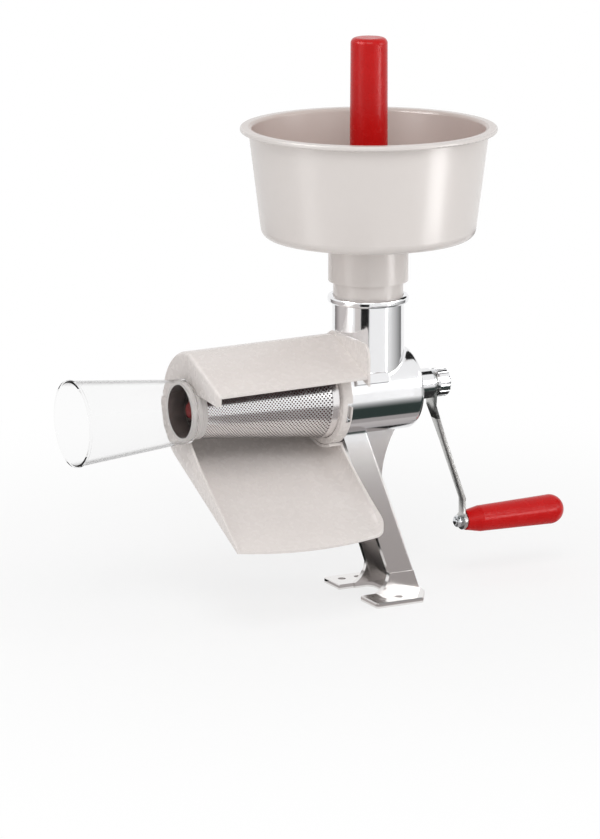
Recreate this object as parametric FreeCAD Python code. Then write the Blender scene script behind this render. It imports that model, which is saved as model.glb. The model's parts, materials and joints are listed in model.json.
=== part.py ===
import FreeCAD, Part
import math
import os

# Hand cranked tomato strainer.
#
# A cast body carries a horizontal barrel, a vertical throat and a leaning channel leg that stands
# on a forked, bolt-down foot. A crank turns a tapered screw inside the barrel and the perforated
# screen. Pulp falls through the screen into the chute, and skins leave through the clear funnel.
#
# Everything is drawn about the crossing of the barrel's axis (X) and the throat's axis (Z).
# The crank is at +X, the waste funnel at -X and the chute's lip at -Y. The finished pieces are
# moved so that the origin is the centre of the four foot bolts, on the underside of the foot.
# All sizes are millimetres.

# Where the drawing's centre lies in the finished frame
AXIS_HEIGHT = 182.0
THROAT_SETBACK = -3.0

# Clearances
FIT = 0.03
RUN = 0.05
GAP = 0.3

# How far a cutting shape runs past what it cuts
CUT_PAST = 10.0

# Barrel and its end wall
BARREL_R = 36.3
BARREL_WALL = 3.7
BARREL_END_X = 37.6
BARREL_WALL_END = 5.0
BARREL_EDGE_ROUND = 5.0
MOUTH_X = -42.0
MOUTH_FLANGE_PROUD = 2.7
MOUTH_FLANGE_LENGTH = 5.6
BOSS_R = 13.3
BOSS_LENGTH = 23.1
BOSS_CHAMFER = 1.0

# Throat
THROAT_R = 31.1
THROAT_BORE_R = 27.5
THROAT_TOP_Z = 84.9
RIM_R = 35.1
RIM_HEIGHT = 6.6
RIM_ROUND = 2.4
SEAT_R = 30.6
SEAT_DEPTH = 6.2
THROAT_FILLET = 4.0

# Rails cast on both shoulders of the barrel, behind the hood
RAIL_START_X = -30.0
RAIL_LENGTH = 33.0
RAIL_WIDTH = 9.0
RAIL_PROUD = 2.8
RAIL_ANGLE = 28.0
RAIL_CORNER = 2.0

# Leg, an open channel that leans towards the crank
LEG_TOP_LEFT_X = -37.0
LEG_FOOT_LEFT_X = 17.3
LEG_WIDTH_X = 24.7
LEG_TOP_Z = -26.0
LEG_TOP_HALF_Y = 19.5
LEG_FOOT_HALF_Y = 23.5
LEG_WALL = 5.0
LEG_EDGE_ROUND = 2.5
FLARE_HEIGHT = 22.0
FLARE_END_X = -2.0
FLARE_SAG = 2.7

# Gusset between leg and barrel
GUSSET_THICKNESS = 6.0
GUSSET_END_X = 28.0
GUSSET_LOW_Z = -108.0
GUSSET_SAG = 8.3

# Forked foot
FOOT_THICKNESS = 4.5
FOOT_LEFT_X = -17.0
FOOT_HALF_Y = 50.0
FOOT_INNER_HALF_Y = 20.0
FOOT_RIGHT_X = 42.5
FOOT_CHAMFER_X = 14.0
FOOT_CHAMFER_HALF_Y = 27.0
FORK_END_X = 14.5
FORK_CORNER_R = 10.0
BOLT_SPACING_X = 16.0
BOLT_SPACING_Y = 75.0
BOLT_HOLE_R = 3.5

# Bayonet studs on the mouth flange
STUD_COUNT = 3
STUD_R = 1.6
STUD_STICKOUT = 0.4
STUD_DEPTH = 1.4
STUD_X = -40.0
STUD_ANGLE = 200.8
TWIST_ANGLE = 19.0

# Locking ring
RING_LEFT_X = -46.5
RING_LENGTH = 9.9
RING_WALL = 2.9
RING_LIP = 1.6
SLOT_WIDTH = 3.9

# Screen, its rims and its gasket
SCREEN_WALL = 0.9
SCREEN_SMALL_X = -166.0
SCREEN_SMALL_R = 24.4
SCREEN_LARGE_X = -53.0
REAR_RIM_PROUD = 0.8
REAR_RIM_FLANGE = 1.8
GASKET_THICKNESS = 0.9
NOSE_END_X = -181.0
NOSE_R = 24.4
NOSE_BORE_R = 22.6
NOSE_FLANGE_PROUD = 1.4
NOSE_FLANGE = 3.0
NOSE_BEAD = 0.6
NOSE_BEAD_PITCH = 3.6
NOSE_BEAD_COUNT = 3

# Waste funnel
FUNNEL_WALL = 1.6
FUNNEL_MOUTH_X = -281.0
FUNNEL_MOUTH_R = 36.4
FUNNEL_SOCKET_X = -176.4
FUNNEL_SOCKET_LENGTH = 9.0
FUNNEL_BEAD = 1.0

# Drum shared by the hood and the chute
DRUM_LEFT_X = -174.0
DRUM_SPACE = 5.2
DRUM_SPLIT_Z = 4.0
PLASTIC_WALL = 2.2
NOTCH_CLEARANCE = 0.9

# Hood
HOOD_WALL_RIGHT_X = -31.7
HOOD_WALL_RIGHT = 2.2
HOOD_FRONT_Y = -62.0
HOOD_FRONT_Z = 24.5
HOOD_RIDGE_Y = -2.0
HOOD_RISE = 2.6
HOOD_TIP_Z = 15.7
HOOD_TIP_LENGTH = 5.0
HOOD_LOW_Z = 14.4
HOOD_EDGE_ROUND = 4.0
EAR_TOP_Z = 55.3
EAR_FRONT_Y = -63.5
EAR_LOW_Z = 19.0
EAR_ROUND = 12.0
EAR_EDGE_ROUND = 0.6
EAR_HEEL_LENGTH = 17.5
EAR_HEEL_RISE = 6.0

# Chute
CHUTE_RIGHT_X = -33.5
CHUTE_SLOPE = 0.5
CHUTE_LIP_Y = -94.0
CHUTE_LIP_BULGE = 7.3
CHUTE_LIP_CORNER_R = 15.0
CHUTE_SPREAD = 4.5
CHUTE_SPREAD_Y = -30.0
CHUTE_WALL_MID_Y = -24.2
CHUTE_WALL_MID_Z = -47.6
CHUTE_WALL_HIGH_Y = -5.2
CHUTE_WALL_HIGH_Z = -29.5
CHUTE_LIP_WALL = 1.0
CHUTE_FLOOR_ROUND = 12.0
CHUTE_SADDLE_WALL = 2.6
CHUTE_SADDLE_START = 247.0
CHUTE_SADDLE_SPAN = 62.0

# Drive shaft, bush and seal
SHAFT_R = 6.5
SHAFT_FLANGE_R = 12.0
SHAFT_FLANGE = 3.0
DRIVE_SQUARE = 10.0
DRIVE_LENGTH = 20.0
ARM_SQUARE = 9.0
THREAD_R = 4.5
THREAD_LENGTH = 8.0
BUSH_R = 9.0
BUSH_FLANGE_R = 13.0
BUSH_FLANGE = 2.0
SEAL_THICKNESS = 1.6

# Screw
SCREW_PITCH = 33.0
SCREW_BLADE = 3.4
SCREW_CLEARANCE = 0.9
SCREW_BLADE_END_X = -165.0
SCREW_TIP_X = -173.0
SCREW_CORE_LARGE_R = 14.5
SCREW_CORE_SMALL_R = 8.5

# Crank
WASHER_THICKNESS = 0.9
WASHER_R = 11.8
ARM_THICKNESS = 3.0
ARM_OFFSET = 32.0
CRANK_R = 128.0
ARM_TOP_WIDTH = 18.7
ARM_MID_WIDTH = 9.0
ARM_LOW_WIDTH = 8.0
ARM_NECK_END_Z = -52.0
ARM_NECK_SAG = 0.7
ARM_EYE_R = 8.0
ARM_BEND_TOP_Z = -20.0
ARM_BEND_LOW_Z = -108.0
NUT_R = 12.6
NUT_LENGTH = 11.6
NUT_FLUTES = 14
NUT_FLUTE_R = 1.5
NUT_NECK_R = 10.4
NUT_NECK = 1.3
NUT_ROUND = 1.6

# Handle
PIN_R = 3.0
PIN_NUT_FLATS = 10.0
PIN_NUT_THICKNESS = 5.0
PIN_STICKOUT = 1.4
PIN_HEAD_R = 6.0
PIN_HEAD = 3.0
PIN_WASHER_R = 7.4
PIN_WASHER = 1.2
GRIP_LENGTH = 99.5
GRIP_NECK_R = 8.8
GRIP_SHOULDER_R = 11.6
GRIP_SHOULDER_AT = 14.0
GRIP_BELLY_R = 13.2
GRIP_BELLY_AT = 85.0
GRIP_HEAD_AT = 88.0

# Hopper
BOWL_WALL = 2.5
BOWL_FLOOR_Z = 135.2
BOWL_FLOOR_R = 91.5
BOWL_RIM_R = 110.0
BOWL_LIP_WIDTH = 7.2
BOWL_RIM_Z = 230.8
BOWL_RIM_HEIGHT = 4.2
BOWL_CORNER_R = 9.0
BOWL_LIP_ROUND = 3.2
COLLAR_R = 34.5
COLLAR_LOW_Z = 97.3
NECK_CLEARANCE = 0.4
SPIGOT_LOW_Z = 62.0
SPIGOT_WALL = 2.2

# Pusher
PUSHER_TOP_Z = 306.9
PUSHER_TOP_R = 15.8
PUSHER_LOW_R = 17.2
PUSHER_CLEARANCE = 0.7
PUSHER_FOOT = 12.0
PUSHER_TOP_ROUND = 5.0

# Lines worked out from the sizes above
BARREL_BORE_R = BARREL_R - BARREL_WALL
MOUTH_FLANGE_R = BARREL_R + MOUTH_FLANGE_PROUD
RING_BORE_R = MOUTH_FLANGE_R + GAP
RING_R = RING_BORE_R + RING_WALL
REAR_RIM_R = BARREL_R - 0.1
REAR_RIM_FLANGE_R = MOUTH_FLANGE_R - 0.4
RING_LIP_R = REAR_RIM_R + GAP + 0.2
SCREEN_LARGE_R = REAR_RIM_R - REAR_RIM_PROUD
STUD_TIP_R = RING_R + STUD_STICKOUT
STUD_ROOT_R = MOUTH_FLANGE_R - STUD_DEPTH
SADDLE_R = RING_R + GAP
DRUM_R = SADDLE_R + CHUTE_SADDLE_WALL + DRUM_SPACE
NOSE_BEAD_R = NOSE_R + NOSE_BEAD
NOSE_FLANGE_R = NOSE_R + NOSE_FLANGE_PROUD
NECK_NOTCH_R = NOSE_BEAD_R + NOTCH_CLEARANCE
SPIGOT_R = THROAT_BORE_R - GAP
NECK_BORE_R = SPIGOT_R - SPIGOT_WALL
NECK_R = SEAT_R - NECK_CLEARANCE
BOWL_TOP_R = BOWL_RIM_R - BOWL_LIP_WIDTH
PUSHER_FOOT_R = NECK_BORE_R - PUSHER_CLEARANCE
BARREL_INNER_END_X = BARREL_END_X - BARREL_WALL_END
BOSS_END_X = BARREL_END_X + BOSS_LENGTH
SEAT_Z = THROAT_TOP_Z - SEAT_DEPTH
FOOT_Z = -AXIS_HEIGHT
FOOT_TOP_Z = FOOT_Z + FOOT_THICKNESS
BOLT_CENTRE_X = -THROAT_SETBACK
RING_RIGHT_X = RING_LEFT_X + RING_LENGTH
GASKET_X = MOUTH_X - GASKET_THICKNESS
RIM_FLANGE_X = GASKET_X - REAR_RIM_FLANGE
ARM_X = BOSS_END_X + WASHER_THICKNESS + 2 * RUN
ARM_OUTER_X = ARM_X + ARM_THICKNESS
ARM_LOW_X = ARM_X + ARM_OFFSET
ARM_LOW_OUTER_X = ARM_LOW_X + ARM_THICKNESS
GRIP_X = ARM_LOW_OUTER_X + PIN_WASHER + 2 * RUN
SHAFT_FLANGE_X = BARREL_INNER_END_X - BUSH_FLANGE - SEAL_THICKNESS - GAP - SHAFT_FLANGE
SCREW_END_X = SHAFT_FLANGE_X - RUN

ORIGIN = FreeCAD.Vector(0, 0, 0)
X_AXIS = FreeCAD.Vector(1, 0, 0)
Y_AXIS = FreeCAD.Vector(0, 1, 0)
Z_AXIS = FreeCAD.Vector(0, 0, 1)


def vec(x, y, z):
    return FreeCAD.Vector(x, y, z)


def rod_x(radius, x0, x1, y=0.0, z=0.0):
    """A round bar along X."""
    return Part.makeCylinder(radius, x1 - x0, vec(x0, y, z), X_AXIS)


def rod_z(radius, z0, z1, x=0.0, y=0.0):
    """A round bar along Z."""
    return Part.makeCylinder(radius, z1 - z0, vec(x, y, z0), Z_AXIS)


def block(x0, x1, y0, y1, z0, z1):
    return Part.makeBox(x1 - x0, y1 - y0, z1 - z0, vec(x0, y0, z0))


def square_x(side, x0, x1):
    half = side / 2
    return block(x0, x1, -half, half, -half, half)


def face_of(points):
    """A flat face through points that are already in one plane."""
    return Part.Face(Part.makePolygon(points + [points[0]]))


def turned_x(profile):
    """A solid of revolution about X from (x, radius) points."""
    return face_of([vec(x, 0, r) for x, r in profile]).revolve(ORIGIN, X_AXIS, 360)


def turned_z(profile):
    """A solid of revolution about Z from (radius, z) points."""
    return face_of([vec(r, 0, z) for r, z in profile]).revolve(ORIGIN, Z_AXIS, 360)


def plate_x(outline, x0, x1):
    """A plate of a (y, z) outline between two places along X."""
    return face_of([vec(x0, y, z) for y, z in outline]).extrude(vec(x1 - x0, 0, 0))


def plate_y(outline, y0, y1):
    """A plate of an (x, z) outline between two places along Y."""
    return face_of([vec(x, y0, z) for x, z in outline]).extrude(vec(0, y1 - y0, 0))


def plate_z(outline, z0, z1):
    """A plate of an (x, y) outline between two places along Z."""
    return face_of([vec(x, y, z0) for x, y in outline]).extrude(vec(0, 0, z1 - z0))


def edges_where(shape, test):
    """The edges of a shape whose middle point passes a test."""
    return [e for e in shape.Edges if test(e, e.valueAt((e.FirstParameter + e.LastParameter) / 2))]


def near(a, b, tolerance=0.01):
    return abs(a - b) < tolerance


def radius_of(p):
    """A point's distance from the upright axis of the throat."""
    return math.hypot(p.x, p.y)


def bowed_edge(a, b, sag):
    """An arc between two points of an XZ plane, bowed to the +X side of a line that runs down."""
    along = (b - a).normalize()
    across = vec(-along.z, 0, along.x)
    return Part.Arc(a, (a + b) * 0.5 + across * sag, b).toShape()


def leg_left_x(z):
    """The leg's open edge at a height."""
    t = (LEG_TOP_Z - z) / (LEG_TOP_Z - FOOT_Z)
    return LEG_TOP_LEFT_X + t * (LEG_FOOT_LEFT_X - LEG_TOP_LEFT_X)


def leg_half_y(z):
    """Half the leg's depth at a height."""
    t = (LEG_TOP_Z - z) / (LEG_TOP_Z - FOOT_Z)
    return LEG_TOP_HALF_Y + t * (LEG_FOOT_HALF_Y - LEG_TOP_HALF_Y)


def leaning_post(left_inset, right_inset, side_inset):
    """The leg's block between barrel and foot, drawn in by an amount on each side."""
    wires = []
    for z in (LEG_TOP_Z, FOOT_Z):
        left = leg_left_x(z) + left_inset
        right = leg_left_x(z) + LEG_WIDTH_X - right_inset
        half = leg_half_y(z) - side_inset
        corners = [vec(left, -half, z), vec(right, -half, z), vec(right, half, z), vec(left, half, z)]
        wires.append(Part.makePolygon(corners + [corners[0]]))
    return Part.makeLoft(wires, True, True)


def leg():
    """The channel leg, open towards the funnel end, with its flanges flaring into the foot."""
    outside = leaning_post(0, 0, 0)
    long_edges = edges_where(outside, lambda e, p: e.Length > 100 and p.x > leg_left_x(p.z) + LEG_WALL)
    outside = outside.makeFillet(LEG_EDGE_ROUND, long_edges)
    channel = outside.cut(leaning_post(-LEG_WIDTH_X, LEG_WALL, LEG_WALL))
    return channel.cut(rod_x(BARREL_R - 1, MOUTH_X, BARREL_END_X))


def flange_flare(side):
    """The curved web that spreads one flange of the leg out along an arm of the fork."""
    top_z = FOOT_Z + FLARE_HEIGHT
    inset = 1.0
    top = vec(leg_left_x(top_z), 0, top_z)
    low = vec(FLARE_END_X, 0, FOOT_TOP_Z)
    under = vec(FLARE_END_X, 0, FOOT_Z)
    back = vec(leg_left_x(FOOT_Z) + LEG_WIDTH_X - inset, 0, FOOT_Z)
    shoulder = vec(leg_left_x(top_z) + LEG_WIDTH_X - inset, 0, top_z)
    edges = [bowed_edge(top, low, FLARE_SAG), Part.makeLine(low, under), Part.makeLine(under, back)]
    edges += [Part.makeLine(back, shoulder), Part.makeLine(shoulder, top)]
    web = Part.Face(Part.Wire(edges)).extrude(vec(0, LEG_WALL, 0))
    inner = LEG_FOOT_HALF_Y - LEG_WALL
    web.translate(vec(0, inner if side > 0 else -LEG_FOOT_HALF_Y, 0))
    return web


def foot():
    """The forked foot with its four bolt holes."""
    half = FOOT_HALF_Y
    outline = [
        (FOOT_LEFT_X, -half),
        (FOOT_RIGHT_X - FOOT_CHAMFER_X, -half),
        (FOOT_RIGHT_X, -FOOT_CHAMFER_HALF_Y),
        (FOOT_RIGHT_X, FOOT_CHAMFER_HALF_Y),
        (FOOT_RIGHT_X - FOOT_CHAMFER_X, half),
        (FOOT_LEFT_X, half),
    ]
    plate = plate_z(outline, FOOT_Z, FOOT_TOP_Z)
    corners = edges_where(plate, lambda e, p: near(p.z, FOOT_Z + FOOT_THICKNESS / 2))
    plate = plate.makeFillet(3.0, corners)
    fork = block(FOOT_LEFT_X - 1, FORK_END_X, -FOOT_INNER_HALF_Y, FOOT_INNER_HALF_Y, FOOT_Z - 1, 0)
    inner = edges_where(fork, lambda e, p: near(p.x, FORK_END_X) and near(abs(p.y), FOOT_INNER_HALF_Y))
    fork = fork.makeFillet(FORK_CORNER_R, inner)
    plate = plate.cut(fork)
    top = edges_where(plate, lambda e, p: near(p.z, FOOT_TOP_Z) and abs(p.y) > FOOT_INNER_HALF_Y + 1)
    plate = plate.makeChamfer(0.8, top)
    for dx in (-0.5, 0.5):
        for dy in (-0.5, 0.5):
            x = BOLT_CENTRE_X + dx * BOLT_SPACING_X
            plate = plate.cut(rod_z(BOLT_HOLE_R, FOOT_Z - 1, FOOT_TOP_Z + 1, x, dy * BOLT_SPACING_Y))
    return plate


def gusset():
    """The web between the leg's back and the barrel's underside, with a hollow curved edge."""
    high_z = -BARREL_R + BARREL_WALL
    high = vec(GUSSET_END_X, 0, high_z)
    low = vec(leg_left_x(GUSSET_LOW_Z) + LEG_WIDTH_X - 1, 0, GUSSET_LOW_Z)
    inside_high = vec(leg_left_x(high_z) + LEG_WIDTH_X - LEG_WALL, 0, high_z)
    inside_low = vec(low.x - LEG_WALL / 2, 0, low.z)
    edges = [bowed_edge(high, low, -GUSSET_SAG), Part.makeLine(low, inside_low)]
    edges += [Part.makeLine(inside_low, inside_high), Part.makeLine(inside_high, high)]
    web = Part.Face(Part.Wire(edges)).extrude(vec(0, GUSSET_THICKNESS, 0))
    web.translate(vec(0, -GUSSET_THICKNESS / 2, 0))
    return web


def rail(side):
    """The raised pad on one shoulder of the barrel."""
    pad = block(
        RAIL_START_X, RAIL_START_X + RAIL_LENGTH,
        -RAIL_WIDTH / 2, RAIL_WIDTH / 2,
        BARREL_R - 3, BARREL_R + RAIL_PROUD,
    )
    end_x = RAIL_START_X + RAIL_LENGTH
    ends = edges_where(pad, lambda e, p: near(p.x, end_x) and near(p.z, BARREL_R - 0.1, 2))
    pad = pad.makeFillet(RAIL_CORNER, ends)
    top = edges_where(pad, lambda e, p: near(p.z, BARREL_R + RAIL_PROUD))
    pad = pad.makeFillet(0.8, top)
    turn = 90 - RAIL_ANGLE
    pad.rotate(ORIGIN, X_AXIS, turn if side < 0 else -turn)
    return pad


def body_casting():
    """Barrel, throat, boss, leg and foot in one casting."""
    barrel = rod_x(BARREL_R, MOUTH_X, BARREL_END_X)
    barrel = barrel.makeFillet(BARREL_EDGE_ROUND, edges_where(barrel, lambda e, p: near(p.x, BARREL_END_X)))
    throat = rod_z(THROAT_R, 0, THROAT_TOP_Z)
    body = barrel.fuse(throat)
    joint = edges_where(body, lambda e, p: 5 < p.z < BARREL_R + 1 and near(radius_of(p), THROAT_R, 0.05))
    body = body.makeFillet(THROAT_FILLET, joint)
    rim = rod_z(RIM_R, THROAT_TOP_Z - RIM_HEIGHT, THROAT_TOP_Z)
    rim = rim.makeFillet(RIM_ROUND, edges_where(rim, lambda e, p: e.Closed and near(radius_of(p), RIM_R)))
    boss = rod_x(BOSS_R, BARREL_INNER_END_X, BOSS_END_X)
    boss = boss.makeChamfer(BOSS_CHAMFER, edges_where(boss, lambda e, p: near(p.x, BOSS_END_X)))
    mouth = rod_x(MOUTH_FLANGE_R, MOUTH_X, MOUTH_X + MOUTH_FLANGE_LENGTH)
    cast_on = [rim, boss, mouth, leg(), gusset(), foot()]
    cast_on += [flange_flare(1), flange_flare(-1), rail(-1), rail(1)]
    for piece in cast_on:
        body = body.fuse(piece)
    body = body.cut(rod_x(BARREL_BORE_R, MOUTH_X - 1, BARREL_INNER_END_X))
    body = body.cut(rod_z(THROAT_BORE_R, 5, THROAT_TOP_Z + 1))
    body = body.cut(rod_z(SEAT_R, SEAT_Z, THROAT_TOP_Z + 1))
    body = body.cut(rod_x(BUSH_R + FIT, BARREL_INNER_END_X - 1, BOSS_END_X + 1))
    return body.removeSplitter()


def studs():
    """The bayonet studs, pressed into the mouth flange."""
    pins = []
    for i in range(STUD_COUNT):
        pin = Part.makeCylinder(STUD_R, STUD_TIP_R - STUD_ROOT_R, vec(STUD_X, STUD_ROOT_R, 0), Y_AXIS)
        tip = edges_where(pin, lambda e, p: near(p.y, STUD_TIP_R))
        pin = pin.makeFillet(0.6, tip)
        pin.rotate(ORIGIN, X_AXIS, STUD_ANGLE + i * 360 / STUD_COUNT)
        pins.append(pin)
    return pins


def stud_sockets():
    """The blind holes that take the studs."""
    holes = []
    for i in range(STUD_COUNT):
        hole = Part.makeCylinder(STUD_R, STUD_TIP_R - STUD_ROOT_R, vec(STUD_X, STUD_ROOT_R, 0), Y_AXIS)
        hole.rotate(ORIGIN, X_AXIS, STUD_ANGLE + i * 360 / STUD_COUNT)
        holes.append(hole)
    return holes


def sector_x(radius, x0, x1, start, sweep):
    """A slice of a round bar along X, from a start angle through a sweep."""
    slice_ = Part.makeCylinder(radius, x1 - x0, vec(x0, 0, 0), X_AXIS, sweep)
    slice_.rotate(ORIGIN, X_AXIS, start - 90)
    return slice_


def locking_ring():
    """The ring that draws the screen against the barrel, with an L slot for each stud."""
    ring = rod_x(RING_R, RING_LEFT_X, RING_RIGHT_X)
    ring = ring.makeFillet(1.0, edges_where(ring, lambda e, p: e.Closed))
    ring = ring.cut(rod_x(RING_BORE_R, RING_LEFT_X + RING_LIP, RING_RIGHT_X + 1))
    ring = ring.cut(rod_x(RING_LIP_R, RING_LEFT_X - 1, RING_RIGHT_X))
    half_slot = SLOT_WIDTH / 2
    entry_half = math.degrees(half_slot / RING_R)
    for i in range(STUD_COUNT):
        rest = STUD_ANGLE + i * 360 / STUD_COUNT
        entry = rest - TWIST_ANGLE
        run = sector_x(RING_R + 5, STUD_X - half_slot, STUD_X + half_slot, entry - entry_half,
                       TWIST_ANGLE + 2 * entry_half)
        mouth = sector_x(RING_R + 5, STUD_X, RING_RIGHT_X + 1, entry - entry_half, 2 * entry_half)
        slot = run.fuse(mouth).cut(rod_x(RING_BORE_R - 2, RING_LEFT_X, RING_RIGHT_X + 2))
        ring = ring.cut(slot)
    return ring


def screen_cone():
    """The tapered screen's wall."""
    return turned_x([
        (SCREEN_SMALL_X, SCREEN_SMALL_R - SCREEN_WALL),
        (SCREEN_SMALL_X, SCREEN_SMALL_R),
        (SCREEN_LARGE_X, SCREEN_LARGE_R),
        (SCREEN_LARGE_X, SCREEN_LARGE_R - SCREEN_WALL),
    ])


def screen_rear_rim():
    """The plain band and clamped flange at the screen's large end."""
    inside = SCREEN_LARGE_R - SCREEN_WALL
    return turned_x([
        (SCREEN_LARGE_X, inside),
        (SCREEN_LARGE_X, REAR_RIM_R),
        (RIM_FLANGE_X, REAR_RIM_R),
        (RIM_FLANGE_X, REAR_RIM_FLANGE_R),
        (GASKET_X, REAR_RIM_FLANGE_R),
        (GASKET_X, inside),
    ])


def screen_gasket():
    """The flat seal between the screen's flange and the barrel's mouth."""
    ring = rod_x(REAR_RIM_FLANGE_R, GASKET_X, MOUTH_X)
    return ring.cut(rod_x(BARREL_BORE_R + 1, GASKET_X - 1, MOUTH_X + 1))


def screen_nose():
    """The plain ring at the screen's small end that the funnel slips over."""
    profile = [(NOSE_END_X, NOSE_BORE_R), (NOSE_END_X, NOSE_FLANGE_R)]
    profile += [(NOSE_END_X + NOSE_FLANGE, NOSE_FLANGE_R), (NOSE_END_X + NOSE_FLANGE, NOSE_R)]
    first = SCREEN_SMALL_X - NOSE_BEAD_PITCH * NOSE_BEAD_COUNT
    for i in range(NOSE_BEAD_COUNT):
        x = first + i * NOSE_BEAD_PITCH
        profile += [(x, NOSE_R), (x + 0.8, NOSE_BEAD_R), (x + 2.0, NOSE_BEAD_R), (x + 2.8, NOSE_R)]
    profile += [(SCREEN_SMALL_X, NOSE_R), (SCREEN_SMALL_X, NOSE_BORE_R)]
    return turned_x(profile)


def waste_funnel():
    """The clear funnel, socketed over the nose and flaring to its mouth."""
    socket_r = NOSE_FLANGE_R + GAP
    neck_x = FUNNEL_SOCKET_X - FUNNEL_SOCKET_LENGTH
    return turned_x([
        (FUNNEL_SOCKET_X, socket_r),
        (neck_x, socket_r),
        (FUNNEL_MOUTH_X, FUNNEL_MOUTH_R - FUNNEL_WALL),
        (FUNNEL_MOUTH_X, FUNNEL_MOUTH_R + FUNNEL_BEAD / 2),
        (FUNNEL_MOUTH_X + 1.6, FUNNEL_MOUTH_R + FUNNEL_BEAD / 2),
        (FUNNEL_MOUTH_X + 2.4, FUNNEL_MOUTH_R - 0.2),
        (neck_x, socket_r + FUNNEL_WALL),
        (FUNNEL_SOCKET_X, socket_r + FUNNEL_WALL),
    ])


def hood_wire(x, rise, inset):
    """The hood's cross-section at a place along X, as one closed wire."""
    slope = (math.sqrt(DRUM_R ** 2 - HOOD_RIDGE_Y ** 2) - HOOD_FRONT_Z) / (HOOD_RIDGE_Y - HOOD_FRONT_Y)
    drop = inset * math.sqrt(1 + slope ** 2)
    ridge_z = math.sqrt(DRUM_R ** 2 - HOOD_RIDGE_Y ** 2) + rise - drop
    ridge = vec(x, HOOD_RIDGE_Y, ridge_z)
    back = vec(x, DRUM_R - inset, DRUM_SPLIT_Z)
    shoulder_r = DRUM_R - inset + rise * 0.5
    shoulder = vec(x, shoulder_r * math.cos(math.radians(45)), shoulder_r * math.sin(math.radians(45)))
    arc = Part.Arc(ridge, shoulder, back).toShape()
    if inset > 0:
        far_y = HOOD_FRONT_Y - CUT_PAST
        front = vec(x, far_y, ridge_z + slope * (far_y - HOOD_RIDGE_Y))
        below = [vec(x, DRUM_R - inset, -CUT_PAST), vec(x, far_y, -CUT_PAST)]
    else:
        front = vec(x, HOOD_FRONT_Y, HOOD_FRONT_Z + rise)
        below = [
            vec(x, 0, DRUM_SPLIT_Z),
            vec(x, -NECK_NOTCH_R * 0.52, NECK_NOTCH_R * 0.71),
            vec(x, HOOD_FRONT_Y + HOOD_TIP_LENGTH, HOOD_LOW_Z),
            vec(x, HOOD_FRONT_Y + 1, HOOD_TIP_Z),
        ]
    lines = [Part.makeLine(front, ridge)]
    corners = [back] + below + [front]
    for a, b in zip(corners, corners[1:]):
        lines.append(Part.makeLine(a, b))
    return Part.Wire([lines[0], arc] + lines[1:])


def ear_edge_shows(edge, middle, ear_mid_x):
    """Whether an edge of the ear's rim is one of the rounded ones, at the front corner and the top."""
    if edge.Length < HOOD_WALL_RIGHT + 1 or near(middle.x, ear_mid_x):
        return False
    at_front = near(middle.y, EAR_FRONT_Y)
    at_top = near(middle.z, EAR_TOP_Z)
    in_corner = middle.y < EAR_FRONT_Y + EAR_ROUND and middle.z > EAR_TOP_Z - EAR_ROUND
    return at_front or at_top or in_corner


def splash_hood():
    """The sloping hood over the screen, with an end wall at the neck and a tall ear at the throat."""
    ear_left_x = HOOD_WALL_RIGHT_X - HOOD_WALL_RIGHT
    outside = Part.makeLoft([hood_wire(DRUM_LEFT_X, 0, 0), hood_wire(ear_left_x, HOOD_RISE, 0)], True, True)
    rounded = edges_where(outside, lambda e, p: near(p.x, DRUM_LEFT_X) and p.z > HOOD_FRONT_Z)
    outside = outside.makeFillet(HOOD_EDGE_ROUND, rounded)
    inner_left = hood_wire(DRUM_LEFT_X + PLASTIC_WALL, 0, PLASTIC_WALL)
    inner_right = hood_wire(ear_left_x + 1, HOOD_RISE, PLASTIC_WALL)
    shell = outside.cut(Part.makeLoft([inner_left, inner_right], True, True))
    shell = shell.cut(rod_x(NECK_NOTCH_R, DRUM_LEFT_X - 1, DRUM_LEFT_X + PLASTIC_WALL + 1))
    saddle_r = BARREL_R + GAP
    outline = [
        (EAR_FRONT_Y, EAR_LOW_Z),
        (EAR_FRONT_Y, EAR_TOP_Z),
        (HOOD_RIDGE_Y + 6, EAR_TOP_Z),
        (DRUM_R * 0.52, DRUM_R * 0.87),
        (DRUM_R * 0.78, DRUM_R * 0.66),
        (DRUM_R * 0.95, DRUM_R * 0.34),
        (DRUM_R, DRUM_SPLIT_Z),
        (0, DRUM_SPLIT_Z),
        (-saddle_r * 0.8, saddle_r * 0.58),
        (EAR_FRONT_Y + EAR_HEEL_LENGTH, EAR_LOW_Z + EAR_HEEL_RISE),
    ]
    ear_mid_x = (ear_left_x + HOOD_WALL_RIGHT_X) / 2
    ear = plate_x(outline, ear_left_x, HOOD_WALL_RIGHT_X)
    corner = edges_where(ear, lambda e, p: near(p.y, EAR_FRONT_Y) and near(p.z, EAR_TOP_Z))
    ear = ear.makeFillet(EAR_ROUND, corner)
    front = edges_where(ear, lambda e, p: ear_edge_shows(e, p, ear_mid_x))
    ear = ear.makeFillet(EAR_EDGE_ROUND, front)
    hood = shell.fuse(ear)
    hood = hood.cut(rod_x(saddle_r, ear_left_x - 1, HOOD_WALL_RIGHT_X + 1))
    relief_r = THROAT_R + THROAT_FILLET + GAP
    return hood.cut(rod_z(relief_r, 0, BARREL_R + THROAT_FILLET + GAP)).removeSplitter()


def chute_floor_z(y, inset):
    """The height of the chute's sloping floor at a place along Y, drawn in by an amount."""
    radius = DRUM_R - inset
    norm = math.sqrt(1 + CHUTE_SLOPE ** 2)
    return -radius / norm + CHUTE_SLOPE * (y - radius * CHUTE_SLOPE / norm)


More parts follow.
